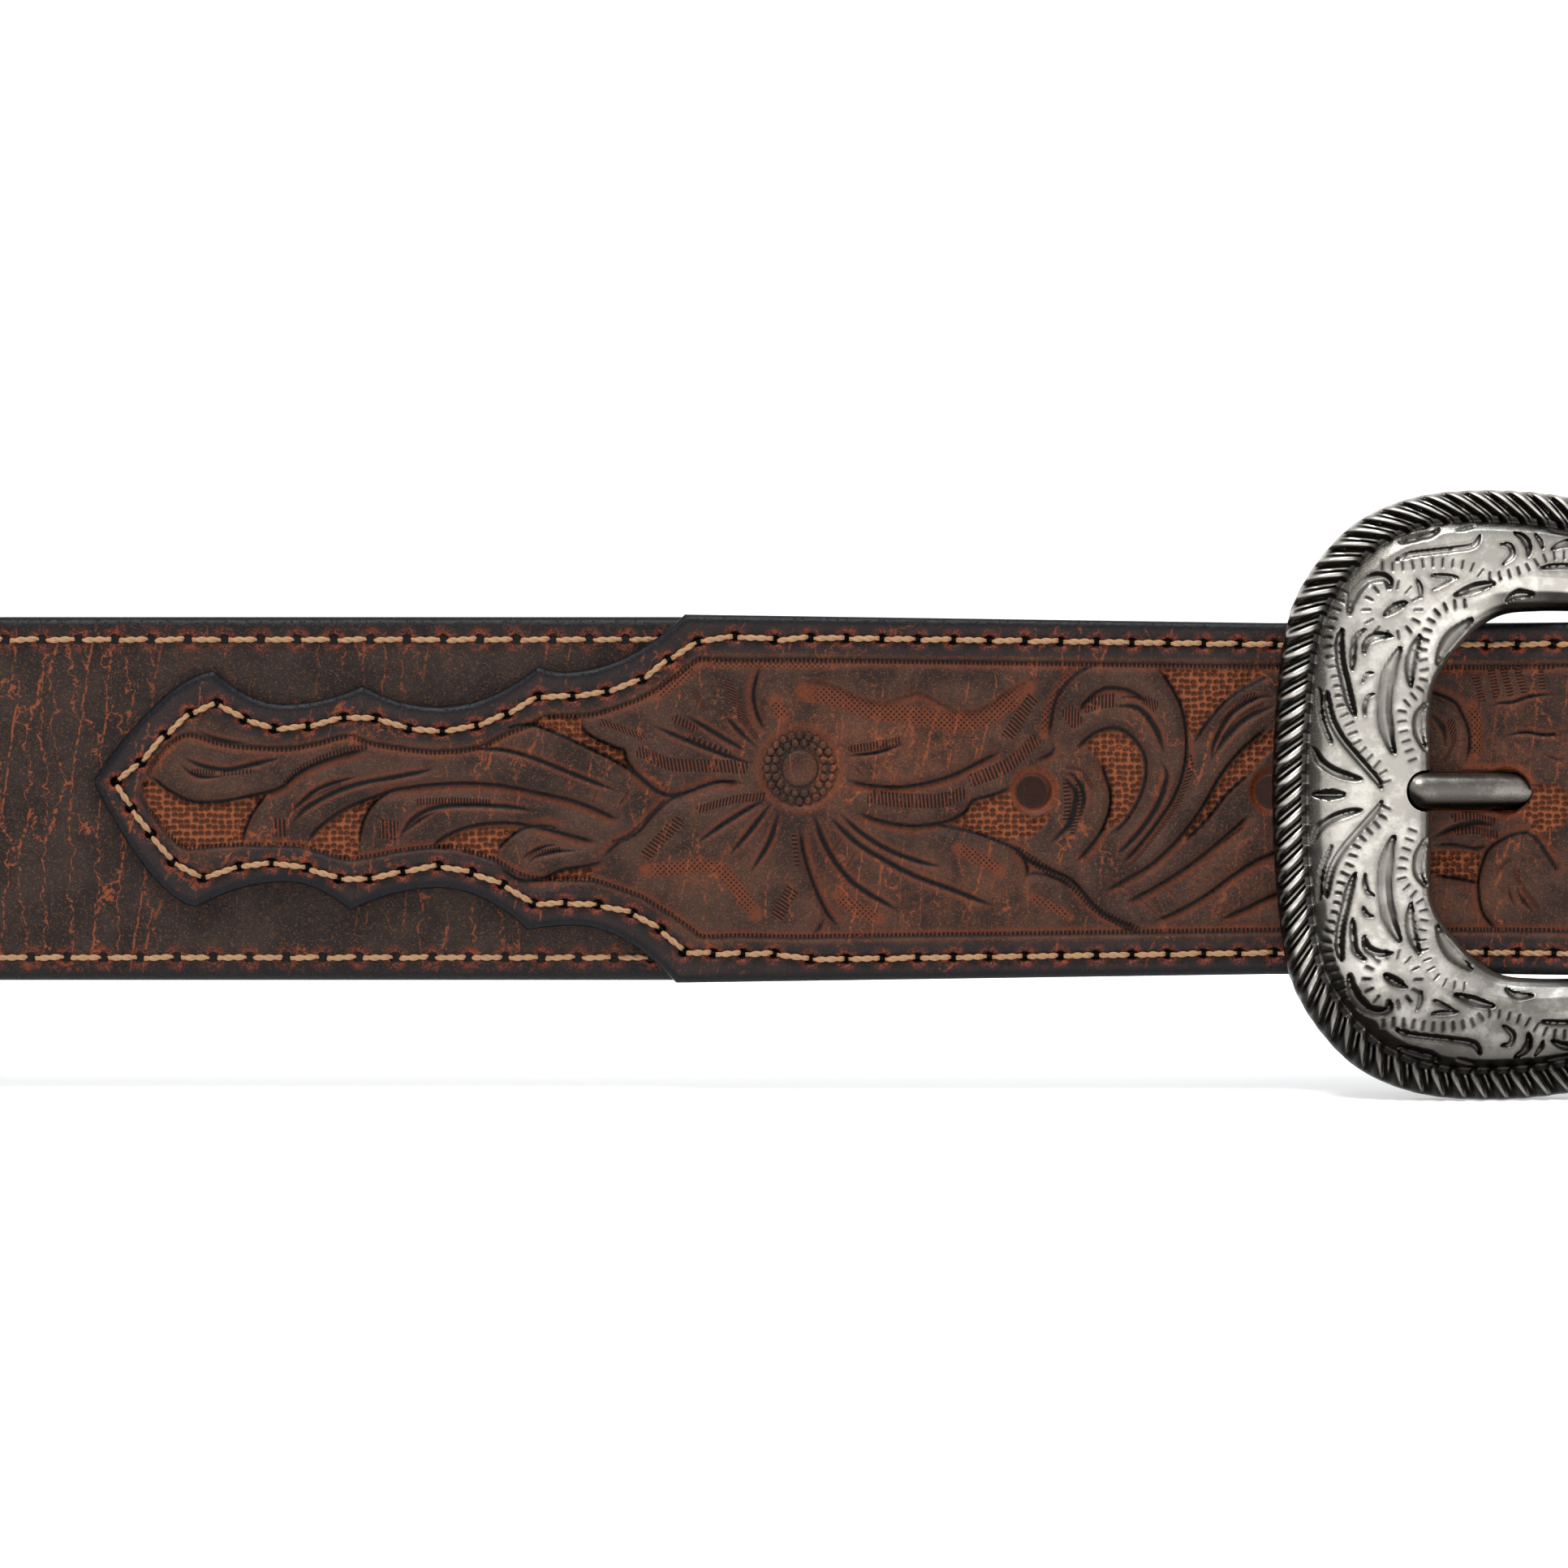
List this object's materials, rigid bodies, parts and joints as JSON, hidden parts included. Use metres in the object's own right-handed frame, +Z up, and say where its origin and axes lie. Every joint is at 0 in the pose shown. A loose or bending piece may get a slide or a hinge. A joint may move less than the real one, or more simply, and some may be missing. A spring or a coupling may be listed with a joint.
{
  "type": "western tooled belt",
  "caption": "Buckled leather belt with a scalloped tooled billet overlay, punched holes, a rope-edged cast buckle with its prong, and a leather keeper.",
  "frame": {"origin": "middle of the footprint, on the surface that the belt stands on", "axes": "+X along the front from the plain strap to the billet's tip, +Y from the front to the back of the waist, +Z up across the strap's width"},
  "size_m": [0.4038, 0.1858, 0.0641],
  "materials": {
    "strap_leather": "aged, dark brown with rust crackle, dressed black edges",
    "tooled_leather": "antiqued floral tooling, dark highs and rust background",
    "antique_silver": "antique silver plate with dark patina in the cuts",
    "keeper_leather": "plain dark brown, dressed edges"
  },
  "bodies": {
    "root": {"strap": "strap_leather", "billet_overlay": "tooled_leather", "buckle_frame": "antique_silver", "buckle_prong": "antique_silver", "keeper_loop": "keeper_leather"}
  },
  "joints": []
}
